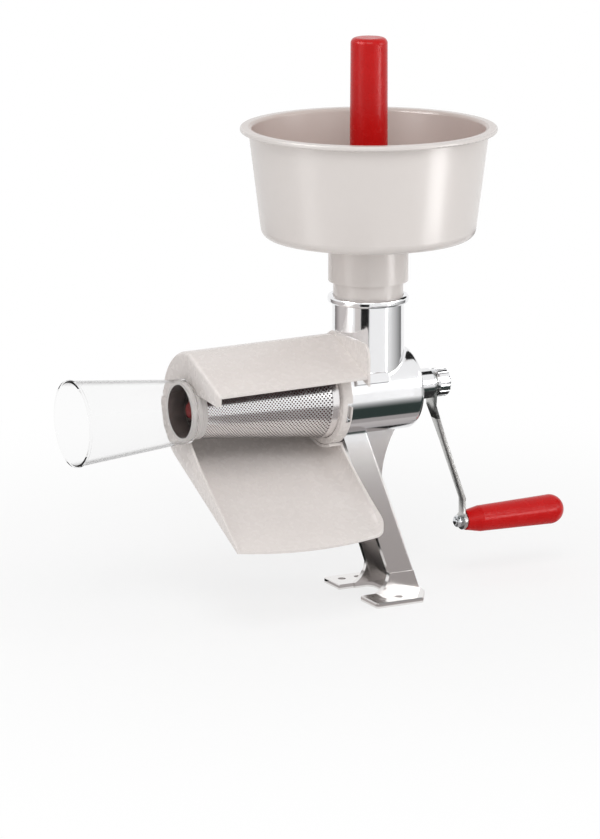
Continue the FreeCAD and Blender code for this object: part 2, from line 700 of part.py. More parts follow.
def chute_wire(x, inset):
    """The chute's cross-section at a place along X: lip, sloping floor, round back and top edge."""
    radius = DRUM_R - inset
    split_z = DRUM_SPLIT_Z - GAP
    tangent_y = radius * CHUTE_SLOPE / math.sqrt(1 + CHUTE_SLOPE ** 2)
    tangent = vec(x, tangent_y, chute_floor_z(tangent_y, inset))
    lip_y = CHUTE_LIP_Y - CHUTE_LIP_BULGE - CUT_PAST
    lip = vec(x, lip_y, chute_floor_z(lip_y, inset))
    back = vec(x, math.sqrt(radius ** 2 - split_z ** 2), split_z)
    low_back = vec(x, radius * math.cos(math.radians(-28)), radius * math.sin(math.radians(-28)))
    arc = Part.Arc(tangent, low_back, back).toShape()
    if inset > 0:
        top_z = split_z + CUT_PAST
        corners = [back, vec(x, back.y, top_z), vec(x, lip_y, top_z), lip]
    else:
        corners = [
            back,
            vec(x, NECK_NOTCH_R * 0.8, split_z),
            vec(x, 0, -NECK_NOTCH_R * 0.8),
            vec(x, CHUTE_WALL_HIGH_Y, CHUTE_WALL_HIGH_Z),
            vec(x, CHUTE_WALL_MID_Y, CHUTE_WALL_MID_Z),
            vec(x, CHUTE_LIP_Y, chute_floor_z(CHUTE_LIP_Y, PLASTIC_WALL) + CHUTE_LIP_WALL),
            vec(x, lip_y, chute_floor_z(lip_y, PLASTIC_WALL) + CHUTE_LIP_WALL),
            lip,
        ]
    lines = [Part.makeLine(lip, tangent)]
    for a, b in zip(corners, corners[1:]):
        lines.append(Part.makeLine(a, b))
    return Part.Wire([lines[0], arc] + lines[1:])


def chute_plan(inset):
    """The chute seen from above: a bowed lip, and a side that spreads towards it beside the leg."""
    z = FOOT_Z
    left_x = DRUM_LEFT_X + inset
    right_x = CHUTE_RIGHT_X - inset
    run = CHUTE_SPREAD_Y - CHUTE_LIP_Y
    start = vec(right_x, CHUTE_SPREAD_Y, z)
    halfway = vec(right_x + CHUTE_SPREAD / 4, CHUTE_SPREAD_Y - run / 2, z)
    end = vec(right_x + CHUTE_SPREAD, CHUTE_LIP_Y, z)
    if inset > 0:
        far_y = CHUTE_LIP_Y - CHUTE_LIP_BULGE - CUT_PAST
        far = vec(end.x + 2 * CHUTE_SPREAD * (CHUTE_LIP_Y - far_y) / run, far_y, z)
        front = vec(left_x, far_y, z)
        lip = [Part.makeLine(end, far), Part.makeLine(far, front)]
    else:
        front = vec(left_x, CHUTE_LIP_Y, z)
        middle = vec((left_x + end.x) / 2, CHUTE_LIP_Y - CHUTE_LIP_BULGE, z)
        lip = [Part.Arc(end, middle, front).toShape()]
    back_y = DRUM_R + CUT_PAST
    corners = [front, vec(left_x, back_y, z), vec(right_x, back_y, z), start]
    edges = [Part.Arc(start, halfway, end).toShape()] + lip
    for a, b in zip(corners, corners[1:]):
        edges.append(Part.makeLine(a, b))
    plan = Part.Face(Part.Wire(edges)).extrude(vec(0, 0, AXIS_HEIGHT + DRUM_R))
    if inset > 0:
        return plan
    corner = edges_where(plan, lambda e, p: near(p.x, end.x) and near(p.y, CHUTE_LIP_Y))
    return plan.makeFillet(CHUTE_LIP_CORNER_R, corner)


def chute_block(inset):
    """The chute's whole block, or the hollow inside it, drawn in by an amount."""
    reach = CHUTE_RIGHT_X + 2 * CHUTE_SPREAD - DRUM_LEFT_X
    return Part.Face(chute_wire(DRUM_LEFT_X, inset)).extrude(vec(reach, 0, 0)).common(chute_plan(inset))


def juice_chute():
    """The tray under the screen, with end walls, a round back and a saddle under the ring."""
    outside = chute_block(0)
    inside = chute_block(PLASTIC_WALL)
    inner_right = CHUTE_RIGHT_X - PLASTIC_WALL
    floor = edges_where(inside, lambda e, p: p.x > inner_right - 0.1 and near(
        p.z, chute_floor_z(p.y, PLASTIC_WALL), 0.05))
    inside = inside.makeFillet(CHUTE_FLOOR_ROUND, floor)
    tray = outside.cut(inside)
    tray = tray.cut(rod_x(NECK_NOTCH_R, DRUM_LEFT_X - 1, DRUM_LEFT_X + PLASTIC_WALL + 1))
    tray = tray.cut(rod_x(RING_R + 1, RING_LEFT_X - 1, CHUTE_RIGHT_X + 1))
    saddle_outer_r = SADDLE_R + CHUTE_SADDLE_WALL
    saddle = sector_x(saddle_outer_r, RING_LEFT_X, CHUTE_RIGHT_X, CHUTE_SADDLE_START, CHUTE_SADDLE_SPAN)
    saddle = saddle.cut(rod_x(SADDLE_R, RING_LEFT_X - 1, CHUTE_RIGHT_X + 1))
    return tray.fuse(saddle).removeSplitter()


def drive_shaft():
    """The shaft: inner square, thrust flange, journal, outer square and threaded end."""
    flange_end = SHAFT_FLANGE_X + SHAFT_FLANGE
    pieces = [
        rod_x(SHAFT_FLANGE_R, SHAFT_FLANGE_X, flange_end),
        rod_x(SHAFT_R, flange_end, ARM_X),
        square_x(ARM_SQUARE, ARM_X, ARM_OUTER_X - 0.2),
        rod_x(THREAD_R, ARM_OUTER_X - 0.2, ARM_OUTER_X + THREAD_LENGTH),
    ]
    shaft = square_x(DRIVE_SQUARE, SHAFT_FLANGE_X - DRIVE_LENGTH, SHAFT_FLANGE_X)
    for piece in pieces:
        shaft = shaft.fuse(piece)
    return shaft.removeSplitter()


def rear_bush():
    """The flanged bush in the boss that the shaft turns in."""
    sleeve = rod_x(BUSH_R, BARREL_INNER_END_X, BOSS_END_X)
    flange = rod_x(BUSH_FLANGE_R, BARREL_INNER_END_X - BUSH_FLANGE, BARREL_INNER_END_X)
    return sleeve.fuse(flange).cut(rod_x(SHAFT_R + RUN, 0, BOSS_END_X + 1)).removeSplitter()


def shaft_seal():
    """The rubber seal between the bush's flange and the shaft's flange."""
    x1 = BARREL_INNER_END_X - BUSH_FLANGE
    ring = rod_x(BUSH_FLANGE_R - 0.6, x1 - SEAL_THICKNESS, x1)
    return ring.cut(rod_x(SHAFT_R + GAP, x1 - 5, x1 + 1))


def screw_envelope(clearance):
    """The space the screw may turn in: barrel bore, then the screen's taper."""
    slope = (SCREEN_LARGE_R - SCREEN_SMALL_R) / (SCREEN_LARGE_X - SCREEN_SMALL_X)
    end_r = SCREEN_SMALL_R + slope * (SCREW_BLADE_END_X - SCREEN_SMALL_X) - SCREEN_WALL - clearance
    bore_r = BARREL_BORE_R - clearance
    meet_x = SCREEN_SMALL_X + (bore_r + clearance + SCREEN_WALL - SCREEN_SMALL_R) / slope
    return turned_x([
        (SCREW_BLADE_END_X, 0),
        (SCREW_BLADE_END_X, min(end_r, NOSE_BORE_R - clearance)),
        (meet_x, bore_r),
        (SCREW_END_X - 4, bore_r),
        (SCREW_END_X - 4, 0),
    ])


def auger_screw():
    """The tapered screw: a cone-shaped core with one long blade."""
    core = turned_x([
        (SCREW_TIP_X, 0),
        (SCREW_TIP_X, SCREW_CORE_SMALL_R - 3),
        (SCREW_TIP_X + 3, SCREW_CORE_SMALL_R),
        (MOUTH_X, SCREW_CORE_LARGE_R),
        (SCREW_END_X, SCREW_CORE_LARGE_R),
        (SCREW_END_X, 0),
    ])
    height = SCREW_END_X - SCREW_BLADE_END_X
    path = Part.makeLongHelix(SCREW_PITCH, height, BARREL_BORE_R, 0, True)
    half = SCREW_BLADE / 2
    tip_r = BARREL_BORE_R + 3
    root_r = SCREW_CORE_SMALL_R - 3
    section = Part.makePolygon([
        vec(root_r, 0, -half), vec(tip_r, 0, -half * 0.6), vec(tip_r, 0, half * 0.6),
        vec(root_r, 0, half), vec(root_r, 0, -half),
    ])
    blade = Part.Wire(path.Edges).makePipeShell([section], True, True)
    blade.rotate(ORIGIN, Y_AXIS, 90)
    blade.translate(vec(SCREW_BLADE_END_X, 0, 0))
    screw = core.fuse(blade.common(screw_envelope(SCREW_CLEARANCE)))
    socket = square_x(DRIVE_SQUARE + 2 * GAP, SHAFT_FLANGE_X - DRIVE_LENGTH - 1, SCREW_END_X + 1)
    return screw.cut(socket)


def hub_washer():
    """The plain washer between the boss and the crank arm."""
    ring = rod_x(WASHER_R, BOSS_END_X + RUN, BOSS_END_X + RUN + WASHER_THICKNESS)
    return ring.cut(rod_x(SHAFT_R + GAP, BOSS_END_X - 1, ARM_X + 1))


def arm_outline(x0, x1):
    """The arm seen along the shaft: a round eye, a neck with hollow sides, a slim bar and an eye."""
    top = ARM_TOP_WIDTH / 2
    middle = ARM_MID_WIDTH / 2
    low = ARM_LOW_WIDTH / 2
    hollow = (top + middle) / 2 - ARM_NECK_SAG
    hollow_z = ARM_NECK_END_Z / 2
    edges = [
        Part.Arc(vec(x0, top, 0), vec(x0, hollow, hollow_z), vec(x0, middle, ARM_NECK_END_Z)).toShape(),
        Part.makeLine(vec(x0, middle, ARM_NECK_END_Z), vec(x0, low, -CRANK_R)),
        Part.makeLine(vec(x0, low, -CRANK_R), vec(x0, -low, -CRANK_R)),
        Part.makeLine(vec(x0, -low, -CRANK_R), vec(x0, -middle, ARM_NECK_END_Z)),
        Part.Arc(vec(x0, -middle, ARM_NECK_END_Z), vec(x0, -hollow, hollow_z), vec(x0, -top, 0)).toShape(),
        Part.makeLine(vec(x0, -top, 0), vec(x0, top, 0)),
    ]
    bar = Part.Face(Part.Wire(edges)).extrude(vec(x1 - x0, 0, 0))
    return bar.fuse(rod_x(top, x0, x1)).fuse(rod_x(ARM_EYE_R, x0, x1, 0, -CRANK_R))


def crank_arm():
    """The flat arm, bent in a dog-leg seen from the front."""
    t = ARM_THICKNESS
    high = ARM_TOP_WIDTH / 2 + 1
    low = -CRANK_R - ARM_EYE_R - 1
    bend = t * 0.25
    front_view = [
        (ARM_X, high), (ARM_X, ARM_BEND_TOP_Z), (ARM_LOW_X, ARM_BEND_LOW_Z), (ARM_LOW_X, low),
        (ARM_LOW_X + t, low), (ARM_LOW_X + t, ARM_BEND_LOW_Z + bend), (ARM_X + t, ARM_BEND_TOP_Z + bend),
        (ARM_X + t, high),
    ]
    strip = plate_y(front_view, -ARM_TOP_WIDTH, ARM_TOP_WIDTH)
    x0 = ARM_X - CUT_PAST
    x1 = ARM_LOW_OUTER_X + CUT_PAST
    arm = strip.common(arm_outline(x0, x1))
    arm = arm.cut(square_x(ARM_SQUARE + 4 * RUN, x0, ARM_OUTER_X + 1))
    return arm.cut(rod_x(PIN_R + RUN, x0, x1, 0, -CRANK_R))


def thumb_nut():
    """The fluted nut that holds the arm on the shaft."""
    x0 = ARM_OUTER_X + RUN
    x1 = x0 + NUT_LENGTH
    nut = rod_x(NUT_R, x0 + NUT_NECK, x1)
    nut = nut.makeFillet(NUT_ROUND, edges_where(nut, lambda e, p: near(p.x, x1) and e.Closed))
    for i in range(NUT_FLUTES):
        angle = math.radians(i * 360 / NUT_FLUTES)
        y = (NUT_R + NUT_FLUTE_R * 0.35) * math.cos(angle)
        z = (NUT_R + NUT_FLUTE_R * 0.35) * math.sin(angle)
        nut = nut.cut(rod_x(NUT_FLUTE_R, x0 - 1, x1 + 1, y, z))
    nut = nut.fuse(rod_x(NUT_NECK_R, x0, x0 + NUT_NECK))
    return nut.cut(rod_x(THREAD_R + RUN, x0 - 1, ARM_OUTER_X + THREAD_LENGTH + 1)).removeSplitter()


def handle_pin():
    """The headed pin, trapped in the grip and bolted through the arm's eye."""
    start = ARM_LOW_X - PIN_NUT_THICKNESS - PIN_STICKOUT
    head_x = GRIP_X + GRIP_HEAD_AT
    pin = rod_x(PIN_R, start, head_x, 0, -CRANK_R)
    return pin.fuse(rod_x(PIN_HEAD_R, head_x, head_x + PIN_HEAD, 0, -CRANK_R)).removeSplitter()


def handle_nut():
    """The hexagon nut on the pin, on the barrel side of the arm."""
    radius = PIN_NUT_FLATS / 2 / math.cos(math.radians(30))
    points = []
    for i in range(6):
        angle = math.radians(60 * i)
        points.append((radius * math.cos(angle), -CRANK_R + radius * math.sin(angle)))
    x1 = ARM_LOW_X - RUN
    x0 = x1 - PIN_NUT_THICKNESS
    nut = plate_x(points, x0, x1)
    dome = rod_x(radius - 0.35, x0, x1, 0, -CRANK_R)
    dome = dome.makeChamfer(0.8, edges_where(dome, lambda e, p: e.Closed and near(p.x, x0)))
    nut = nut.common(dome)
    return nut.cut(rod_x(PIN_R + FIT, x1 - 10, x1 + 1, 0, -CRANK_R))


def pin_washer():
    """The bright washer between the arm and the grip."""
    x0 = ARM_LOW_OUTER_X + RUN
    ring = rod_x(PIN_WASHER_R, x0, x0 + PIN_WASHER, 0, -CRANK_R)
    return ring.cut(rod_x(PIN_R + RUN, x0 - 1, x0 + PIN_WASHER + 1, 0, -CRANK_R))


def handle_grip():
    """The grip: a short cone, a long slow taper and a round end, free to spin on its pin."""
    z = -CRANK_R
    base = vec(GRIP_X, 0, z)
    neck = vec(GRIP_X, 0, z + GRIP_NECK_R)
    shoulder = vec(GRIP_X + GRIP_SHOULDER_AT, 0, z + GRIP_SHOULDER_R)
    belly = vec(GRIP_X + GRIP_BELLY_AT, 0, z + GRIP_BELLY_R)
    tip = vec(GRIP_X + GRIP_LENGTH, 0, z)
    dome_length = GRIP_LENGTH - GRIP_BELLY_AT
    centre = (dome_length ** 2 - GRIP_BELLY_R ** 2) / (2 * dome_length)
    half_chord = (dome_length - centre) * math.sqrt(0.5)
    dome_middle = vec(belly.x + centre + half_chord, 0, z + half_chord)
    edges = [Part.makeLine(base, neck), Part.makeLine(neck, shoulder), Part.makeLine(shoulder, belly)]
    edges += [Part.Arc(belly, dome_middle, tip).toShape(), Part.makeLine(tip, base)]
    grip = Part.Face(Part.Wire(edges)).revolve(base, X_AXIS, 360)
    head_x = GRIP_X + GRIP_HEAD_AT
    bore = rod_x(PIN_R + RUN, GRIP_X - 1, head_x, 0, z)
    pocket = rod_x(PIN_HEAD_R + RUN, head_x - GAP, head_x + PIN_HEAD + GAP, 0, z)
    return grip.cut(bore.fuse(pocket))


def hopper_bowl():
    """The round hopper: rolled rim, tapered wall, flat floor, collar, neck and spigot."""
    inner_floor_z = BOWL_FLOOR_Z + BOWL_WALL
    lip_z = BOWL_RIM_Z - BOWL_RIM_HEIGHT
    shoulder_z = SEAT_Z + 0.05
    outer = turned_z([
        (0, SPIGOT_LOW_Z), (SPIGOT_R, SPIGOT_LOW_Z), (SPIGOT_R, shoulder_z), (NECK_R, shoulder_z),
        (NECK_R, COLLAR_LOW_Z), (COLLAR_R, COLLAR_LOW_Z), (COLLAR_R, BOWL_FLOOR_Z),
        (BOWL_FLOOR_R, BOWL_FLOOR_Z), (BOWL_TOP_R, lip_z), (BOWL_RIM_R, lip_z),
        (BOWL_RIM_R, BOWL_RIM_Z), (0, BOWL_RIM_Z),
    ])
    floor_rim_r = COLLAR_R + 1
    corner = edges_where(outer, lambda e, p: near(p.z, BOWL_FLOOR_Z) and radius_of(p) > floor_rim_r)
    outer = outer.makeFillet(BOWL_CORNER_R, corner)
    rim = edges_where(outer, lambda e, p: e.Closed and near(radius_of(p), BOWL_RIM_R))
    outer = outer.makeFillet(1.6, rim)
    inner = turned_z([
        (0, inner_floor_z), (BOWL_FLOOR_R - BOWL_WALL, inner_floor_z),
        (BOWL_TOP_R - BOWL_WALL, BOWL_RIM_Z + 1), (0, BOWL_RIM_Z + 1),
    ])
    low = edges_where(inner, lambda e, p: e.Closed and near(p.z, inner_floor_z))
    inner = inner.makeFillet(BOWL_CORNER_R - BOWL_WALL, low)
    bore = rod_z(NECK_BORE_R, SPIGOT_LOW_Z - 1, inner_floor_z + 1)
    bowl = outer.cut(inner).cut(bore)
    inner_top_r = BOWL_TOP_R - BOWL_WALL
    lip = edges_where(bowl, lambda e, p: near(p.z, BOWL_RIM_Z) and near(radius_of(p), inner_top_r, 1))
    return bowl.makeFillet(BOWL_LIP_ROUND, lip)


def pusher():
    """The long pusher, slightly tapered, with a wide foot that slides in the hopper's neck."""
    foot_z = BARREL_BORE_R - SCREW_CLEARANCE + GAP
    shape = turned_z([
        (0, foot_z), (PUSHER_FOOT_R, foot_z), (PUSHER_FOOT_R, foot_z + PUSHER_FOOT),
        (PUSHER_LOW_R, foot_z + PUSHER_FOOT + 6), (PUSHER_TOP_R, PUSHER_TOP_Z), (0, PUSHER_TOP_Z),
    ])
    top = edges_where(shape, lambda e, p: e.Closed and near(p.z, PUSHER_TOP_Z))
    shape = shape.makeFillet(PUSHER_TOP_ROUND, top)
    foot_edges = edges_where(shape, lambda e, p: e.Closed and near(radius_of(p), PUSHER_FOOT_R))
    return shape.makeFillet(1.2, foot_edges)


def save(name, shapes):
    """Move a piece into the finished frame, check it and write it."""
    shape = shapes[0] if len(shapes) == 1 else Part.makeCompound(shapes)
    shape = shape.copy()
    shape.translate(vec(THROAT_SETBACK, 0, AXIS_HEIGHT))
    box = shape.BoundBox
    print("%-16s solids %d volume %9.1f  x %.1f %.1f  y %.1f %.1f  z %.1f %.1f valid %s" % (
        name, len(shape.Solids), shape.Volume, box.XMin, box.XMax, box.YMin, box.YMax, box.ZMin, box.ZMax,
        shape.isValid()))
    shape.exportStep(os.path.join("parts", name + ".step"))


def main():
    os.makedirs("parts", exist_ok=True)
    casting = body_casting()
    for hole in stud_sockets():
        casting = casting.cut(hole)
    save("body_casting", [casting])
    save("lock_studs", studs())
    save("rear_bush", [rear_bush()])
    save("shaft_seal", [shaft_seal()])
    save("drive_shaft", [drive_shaft()])
    save("auger_screw", [auger_screw()])
    save("screen_cone", [screen_cone()])
    save("screen_rear_rim", [screen_rear_rim()])
    save("screen_gasket", [screen_gasket()])
    save("screen_nose", [screen_nose()])
    save("locking_ring", [locking_ring()])
    save("juice_chute", [juice_chute()])
    save("splash_hood", [splash_hood()])
    save("waste_funnel", [waste_funnel()])
    save("hub_washer", [hub_washer()])
    save("crank_arm", [crank_arm()])
    save("thumb_nut", [thumb_nut()])
    save("handle_pin", [handle_pin()])
    save("handle_nut", [handle_nut()])
    save("pin_washer", [pin_washer()])
    save("handle_grip", [handle_grip()])
    save("hopper_bowl", [hopper_bowl()])
    save("pusher", [pusher()])


main()
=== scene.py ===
import json
import math

import bmesh
import bpy
from mathutils import Matrix, Vector


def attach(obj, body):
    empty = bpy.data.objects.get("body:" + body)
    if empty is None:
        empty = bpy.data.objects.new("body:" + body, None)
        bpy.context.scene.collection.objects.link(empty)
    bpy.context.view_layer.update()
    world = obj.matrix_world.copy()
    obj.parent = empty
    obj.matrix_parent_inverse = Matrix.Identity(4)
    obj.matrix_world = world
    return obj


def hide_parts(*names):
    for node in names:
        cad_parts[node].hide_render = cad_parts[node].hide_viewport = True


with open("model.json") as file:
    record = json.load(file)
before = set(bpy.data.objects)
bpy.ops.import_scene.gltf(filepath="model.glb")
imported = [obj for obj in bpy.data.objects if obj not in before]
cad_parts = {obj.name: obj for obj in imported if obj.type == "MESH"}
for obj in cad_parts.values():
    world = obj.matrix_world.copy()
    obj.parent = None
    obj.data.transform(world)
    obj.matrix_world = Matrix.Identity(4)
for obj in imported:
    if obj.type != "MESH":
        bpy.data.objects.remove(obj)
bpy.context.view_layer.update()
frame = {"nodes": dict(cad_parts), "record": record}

# %% [markdown]
# The strainer comes in as finished solids: casting, crank, hopper, hood, chute and screen. Their
# shapes are right, so this file gives them their finishes, breaks the sharp edges of ten of them,
# remakes the screen as perforated sheet, and lights them all on a pale table. Sizes on the
# machine are written in millimetres and turned into metres with MM, because that is how such a
# part is drawn. The table, cards and lamps round it are placed in metres.

# %% Units and the places that later cells share
MM = 0.001
AXIS_Z = 182 * MM
THROAT_X = -3 * MM
nodes = frame["nodes"]

# %% [markdown]
# Blender's operators act on whatever is selected. The solids arrive selected, so each new piece
# starts from an empty selection, and the faces or edges to shape are then picked by their place.

# %% Helpers for modelling by hand


def clear_selection():
    if bpy.context.object and bpy.context.object.mode != "OBJECT":
        bpy.ops.object.mode_set(mode="OBJECT")
    bpy.ops.object.select_all(action="DESELECT")


def only(obj):
    """Selects one object and makes it the active one."""
    clear_selection()
    obj.select_set(True)
    bpy.context.view_layer.objects.active = obj
    return obj


def pick(obj, test, kind="FACE"):
    """Enters edit mode with only the faces or vertices that pass a test selected."""
    only(obj)
    bpy.ops.object.mode_set(mode="EDIT")
    bpy.ops.mesh.select_mode(type=kind)
    bpy.ops.mesh.select_all(action="DESELECT")
    mesh = bmesh.from_edit_mesh(obj.data)
    if kind == "FACE":
        items = [(f, f.calc_center_median()) for f in mesh.faces]
    else:
        items = [(v, v.co) for v in mesh.verts]
    for item, centre in items:
        if test(item, centre):
            item.select_set(True)
    bmesh.update_edit_mesh(obj.data)


def done(obj, name):
    """Leaves edit mode, settles the object at the origin and names it."""
    if bpy.context.object and bpy.context.object.mode != "OBJECT":
        bpy.ops.object.mode_set(mode="OBJECT")
    only(obj)
    bpy.ops.object.transform_apply(location=True, rotation=True, scale=True)
    obj.name = name
    obj.data.name = name
    print(name, "faces:", len(obj.data.polygons))
    return obj


# %% [markdown]
# Several finishes need a soft unevenness: polished metal is never quite flat, and moulded plastic
# has a faint orange peel. One node group makes that bump from noise on Object coordinates, so the
# pattern stays put on the piece as it moves. A texture painted by hand would do it too, but the
# group needs no picture and keeps its scale in millimetres.

# %% Node group: surface unevenness


def new_group(name, inputs, outputs):
    """An empty node group with its named sockets, and its two end nodes."""
    group = bpy.data.node_groups.new(name, "ShaderNodeTree")
    for label, kind, value in inputs:
        socket = group.interface.new_socket(name=label, in_out="INPUT", socket_type=kind)
        socket.default_value = value
    for label, kind in outputs:
        group.interface.new_socket(name=label, in_out="OUTPUT", socket_type=kind)
    return group, group.nodes.new("NodeGroupInput"), group.nodes.new("NodeGroupOutput")


def make_unevenness():
    """Noise of a size in millimetres, put out as a bumped normal and as a mask."""
    group, source, result = new_group(
        "surface_unevenness",
        [("Size mm", "NodeSocketFloat", 20.0), ("Depth", "NodeSocketFloat", 0.1)],
        [("Normal", "NodeSocketVector"), ("Mask", "NodeSocketFloat")],
    )
    place = group.nodes.new("ShaderNodeTexCoord")
    scale = group.nodes.new("ShaderNodeMath")
    scale.operation = "DIVIDE"
    scale.inputs[0].default_value = 1000.0
    noise = group.nodes.new("ShaderNodeTexNoise")
    noise.inputs["Detail"].default_value = 2.0
    bump = group.nodes.new("ShaderNodeBump")
    bump.inputs["Distance"].default_value = 0.0005
    link = group.links.new
    link(source.outputs["Size mm"], scale.inputs[1])
    link(place.outputs["Object"], noise.inputs["Vector"])
    link(scale.outputs[0], noise.inputs["Scale"])
    link(noise.outputs["Fac"], bump.inputs["Height"])
    link(source.outputs["Depth"], bump.inputs["Strength"])
    link(bump.outputs["Normal"], result.inputs["Normal"])
    link(noise.outputs["Fac"], result.inputs["Mask"])
    return group


UNEVENNESS = make_unevenness()

# %% [markdown]
# Each finish is one material with a Principled shader. Real plastic and metal are never one even
# colour, so the unevenness group also shades the colour a little and moves the roughness. The
# colours are written as they look on screen and changed to the linear values the shader wants.

# %% Finishes


def linear(colour, shade=1.0):
    """A colour as seen on screen, turned into the shader's linear values."""
    values = [c / 12.92 if c <= 0.04045 else ((c + 0.055) / 1.055) ** 2.4 for c in colour]
    return tuple(v * shade for v in values) + (1.0,)


def finish(name, colour, rough, metal=0.0, uneven=(20, 0.05), shade=0.94, spread=0.03, **sockets):
    """A Principled material over the soft unevenness, given as (size in mm, depth)."""
    material = bpy.data.materials.new(name)
    material.use_nodes = True
    tree = material.node_tree
    link = tree.links.new
    shader = tree.nodes["Principled BSDF"]
    shader.inputs["Metallic"].default_value = metal
    for label, value in sockets.items():
        shader.inputs[label.replace("_", " ")].default_value = value
    group = tree.nodes.new("ShaderNodeGroup")
    group.node_tree = UNEVENNESS
    group.inputs["Size mm"].default_value = uneven[0]
    group.inputs["Depth"].default_value = uneven[1]
    tint = tree.nodes.new("ShaderNodeMix")
    tint.data_type = "RGBA"
    tint.inputs["A"].default_value = linear(colour, shade)
    tint.inputs["B"].default_value = linear(colour)
    wear = tree.nodes.new("ShaderNodeMapRange")
    wear.inputs["From Min"].default_value = 0.3
    wear.inputs["From Max"].default_value = 0.7
    wear.inputs["To Min"].default_value = max(rough - spread, 0.0)
    wear.inputs["To Max"].default_value = rough + spread
    link(group.outputs["Normal"], shader.inputs["Normal"])
    link(group.outputs["Mask"], tint.inputs["Factor"])
    link(group.outputs["Mask"], wear.inputs["Value"])
    link(tint.outputs["Result"], shader.inputs["Base Color"])
    link(wear.outputs["Result"], shader.inputs["Roughness"])
    return material


polished_metal = finish(
    "polished_casting", (0.93, 0.93, 0.935), 0.12, metal=1.0, uneven=(60, 0.05), shade=0.97,
    spread=0.02)
bright_steel = finish("bright_steel", (0.86, 0.87, 0.88), 0.12, metal=1.0, uneven=(12, 0.05))
satin_steel = finish(
    "satin_arm_steel", (0.80, 0.80, 0.79), 0.30, metal=1.0, uneven=(6, 0.08), shade=0.88, spread=0.05)
screen_steel = finish("screen_steel", (0.95, 0.94, 0.94), 0.18, metal=1.0, uneven=(10, 0.05))
# Painted shade: a darker steel for the screen's hole walls and inner face, standing in for the shade
# there.
screen_hole_shade = finish("screen_steel_painted_hole_shade", (0.30, 0.28, 0.28), 0.45, metal=1.0, uneven=(10, 0.05))
white_plastic = finish(
    "off_white_plastic", (0.87, 0.845, 0.83), 0.27, uneven=(6, 0.004), shade=0.985, spread=0.02)
bowl_plastic = finish(
    "bowl_plastic", (0.845, 0.82, 0.805), 0.25, uneven=(6, 0.004), shade=0.985, spread=0.02)
red_plastic = finish(
    "red_plastic", (0.765, 0.035, 0.035), 0.26, uneven=(9, 0.05), shade=0.90, spread=0.05,
    Specular_IOR_Level=0.22)
# Painted shade: the screw is the red plastic painted darker for the shade inside the screen.
screw_red_in_shade = finish(
    "red_plastic_painted_shade", (0.42, 0.015, 0.02), 0.40, uneven=(9, 0.08), shade=0.88, spread=0.05,
    Specular_IOR_Level=0.1)
milky_plastic = finish(
    "milky_plastic", (0.95, 0.93, 0.92), 0.12, uneven=(8, 0.05), Transmission_Weight=0.35, IOR=1.4)
clear_plastic = finish(
    "clear_plastic", (0.99, 0.99, 0.99), 0.01, uneven=(40, 0.03), shade=0.99, spread=0.01,
    Transmission_Weight=1.0, IOR=1.12)
bush_plastic = finish("bush_plastic", (0.86, 0.85, 0.82), 0.5)
seal_rubber = finish("seal_rubber", (0.10, 0.10, 0.10), 0.6)
print("finishes:", len(bpy.data.materials))

# %% [markdown]
# The casting is polished brightest on the barrel and the throat, and a little duller on the leg
# and the foot, where a wheel can't reach so well. Its height on the Object coordinates tells the
# two apart. The clear funnel is painted greyer where its wall is seen edge on, as painted shade
# for the darker edges a clear wall shows, and Layer Weight gives that. The bowl has painted shade
# on the side that faces its own upright axis, and the screen's nose has painted shade in its bore,
# where little light reaches. Both are told from each point's offset from an axis.

# %% The duller leg, and painted shade in the nose's bore, inside the bowl and on the funnel's edge
POLISHED_ABOVE = 150 * MM
SATIN_BELOW = 132 * MM
INSIDE_FADE = 12 * MM
BORE_FADE = 0.3 * MM
BORE_SKIN = 0.2 * MM


def read_from(socket):
    """What feeds a socket now, so that a mix can be put between the two."""
    return socket.links[0].from_socket


def mix_colour(material, amount, colour):
    """Mixes a second colour into a finish by an amount from 0 to 1."""
    tree = material.node_tree
    shader = tree.nodes["Principled BSDF"]
    shade = tree.nodes.new("ShaderNodeMix")
    shade.data_type = "RGBA"
    shade.inputs["B"].default_value = linear(colour)
    tree.links.new(amount, shade.inputs["Factor"])
    tree.links.new(read_from(shader.inputs["Base Color"]), shade.inputs["A"])
    tree.links.new(shade.outputs["Result"], shader.inputs["Base Color"])


def duller_below(material, top, bottom, colour, rough):
    """Turns a polished finish into a duller one below a height."""
    tree = material.node_tree
    link = tree.links.new
    shader = tree.nodes["Principled BSDF"]
    place = tree.nodes.new("ShaderNodeTexCoord")
    parts = tree.nodes.new("ShaderNodeSeparateXYZ")
    amount = tree.nodes.new("ShaderNodeMapRange")
    amount.interpolation_type = "SMOOTHSTEP"
    amount.inputs["From Min"].default_value = top
    amount.inputs["From Max"].default_value = bottom
    dull = tree.nodes.new("ShaderNodeMix")
    dull.inputs["B"].default_value = rough
    link(place.outputs["Object"], parts.inputs["Vector"])
    link(parts.outputs["Z"], amount.inputs["Value"])
    link(amount.outputs["Result"], dull.inputs["Factor"])
    link(read_from(shader.inputs["Roughness"]), dull.inputs["A"])
    link(dull.outputs["Result"], shader.inputs["Roughness"])
    mix_colour(material, amount.outputs["Result"], colour)


def paint_edge_shade(material, colour, start):
    """Paints a clear finish darker where its surface is seen nearly edge on, as painted shade."""
    tree = material.node_tree
    facing = tree.nodes.new("ShaderNodeLayerWeight")
    facing.inputs["Blend"].default_value = 0.5
    amount = tree.nodes.new("ShaderNodeMapRange")
    amount.inputs["From Min"].default_value = start
    tree.links.new(facing.outputs["Facing"], amount.inputs["Value"])
    mix_colour(material, amount.outputs["Result"], colour)


def offset_from_axis(tree, point, across):
    """The texture coordinates, and each point's offset from an axis through a point."""
    place = tree.nodes.new("ShaderNodeTexCoord")
    centred = tree.nodes.new("ShaderNodeVectorMath")
    centred.operation = "SUBTRACT"
    centred.inputs[1].default_value = point
    flat = tree.nodes.new("ShaderNodeVectorMath")
    flat.operation = "MULTIPLY"
    flat.inputs[1].default_value = across
    tree.links.new(place.outputs["Object"], centred.inputs[0])
    tree.links.new(centred.outputs["Vector"], flat.inputs[0])
    return place, flat.outputs["Vector"]


